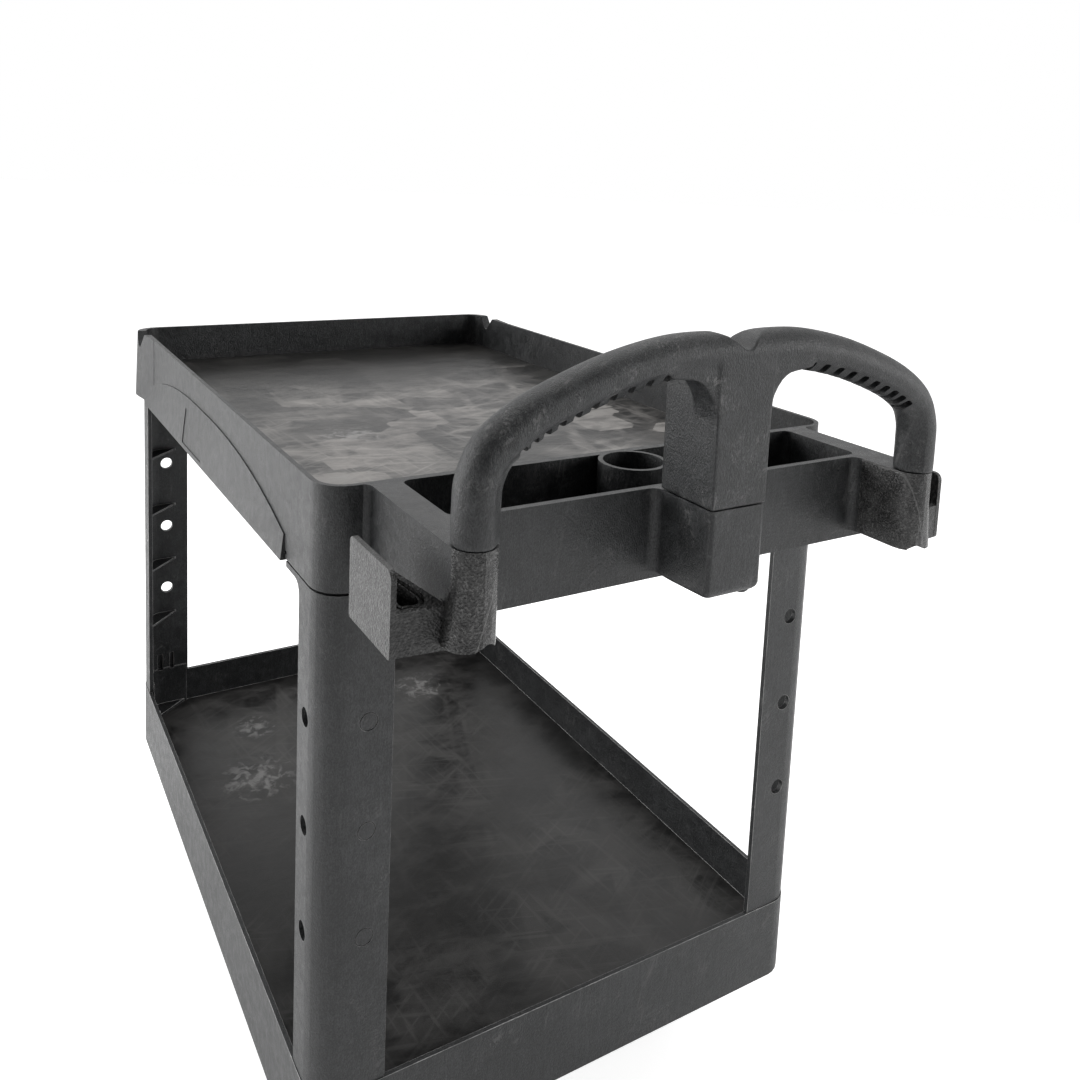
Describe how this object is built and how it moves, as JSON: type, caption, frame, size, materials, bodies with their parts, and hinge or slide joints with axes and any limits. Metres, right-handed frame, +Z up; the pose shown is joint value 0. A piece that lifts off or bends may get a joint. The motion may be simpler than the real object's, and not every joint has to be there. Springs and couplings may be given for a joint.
{
  "type": "food service trolley",
  "caption": "Moulded two-shelf service trolley with lipped trays, corner uprights, an arched push handle with a caddy tray, side hooks, and swivel and fixed casters.",
  "frame": {"origin": "on the floor, at the centre of the plan outline", "axes": "+Z up, -Y towards the person pushing (the handle end), +X to that person's right when facing the load along +Y"},
  "size_m": [0.683, 1.15, 1.0246],
  "materials": {
    "foam_plastic": "matte, finely brushed, scuffed on the decks",
    "wheel_core": "satin",
    "tread": "matte",
    "zinc": "bright zinc plate"
  },
  "bodies": {
    "cart": {"top_shelf": "foam_plastic", "bottom_shelf": "foam_plastic", "handle": "foam_plastic", "upright_near_left": "foam_plastic", "upright_near_right": "foam_plastic", "upright_far_right": "foam_plastic", "upright_far_left": "foam_plastic", "foot_screw_1": "zinc", "foot_screw_2": "zinc", "foot_screw_3": "zinc", "foot_screw_4": "zinc", "head_screw_1": "zinc", "head_screw_2": "zinc", "head_screw_3": "zinc", "head_screw_4": "zinc", "handle_bolt_1": "zinc", "handle_bolt_2": "zinc", "handle_bolt_3": "zinc", "swivel_left_plate": "zinc", "swivel_left_kingpin": "zinc", "swivel_right_plate": "zinc", "swivel_right_kingpin": "zinc", "rigid_left_fork": "zinc", "rigid_left_axle": "zinc", "rigid_left_nut": "zinc", "rigid_right_fork": "zinc", "rigid_right_axle": "zinc", "rigid_right_nut": "zinc"},
    "swivel_left": {"swivel_left_race": "zinc", "swivel_left_fork": "zinc", "swivel_left_axle": "zinc", "swivel_left_nut": "zinc"},
    "swivel_right": {"swivel_right_race": "zinc", "swivel_right_fork": "zinc", "swivel_right_axle": "zinc", "swivel_right_nut": "zinc"},
    "swivel_left_wheel": {"swivel_left_wheel_tread": "tread", "swivel_left_wheel_core": "wheel_core", "swivel_left_wheel_bush": "zinc"},
    "swivel_right_wheel": {"swivel_right_wheel_tread": "tread", "swivel_right_wheel_core": "wheel_core", "swivel_right_wheel_bush": "zinc"},
    "rigid_left_wheel": {"rigid_left_wheel_tread": "tread", "rigid_left_wheel_core": "wheel_core", "rigid_left_wheel_bush": "zinc"},
    "rigid_right_wheel": {"rigid_right_wheel_tread": "tread", "rigid_right_wheel_core": "wheel_core", "rigid_right_wheel_bush": "zinc"}
  },
  "joints": [
    {"name": "swivel_left_turn", "type": "hinge", "parent": "cart", "child": "swivel_left", "pos_m": [-0.2325, -0.273, 0.14], "axis": [0, 0, 1], "continuous": true},
    {"name": "swivel_right_turn", "type": "hinge", "parent": "cart", "child": "swivel_right", "pos_m": [0.2325, -0.273, 0.14], "axis": [0, 0, 1], "continuous": true},
    {"name": "swivel_left_roll", "type": "hinge", "parent": "swivel_left", "child": "swivel_left_wheel", "pos_m": [-0.2325, -0.235, 0.0635], "axis": [1, 0, 0], "continuous": true},
    {"name": "swivel_right_roll", "type": "hinge", "parent": "swivel_right", "child": "swivel_right_wheel", "pos_m": [0.2325, -0.235, 0.0635], "axis": [1, 0, 0], "continuous": true},
    {"name": "rigid_left_roll", "type": "hinge", "parent": "cart", "child": "rigid_left_wheel", "pos_m": [-0.2325, 0.47, 0.0635], "axis": [1, 0, 0], "continuous": true},
    {"name": "rigid_right_roll", "type": "hinge", "parent": "cart", "child": "rigid_right_wheel", "pos_m": [0.2325, 0.47, 0.0635], "axis": [1, 0, 0], "continuous": true}
  ]
}
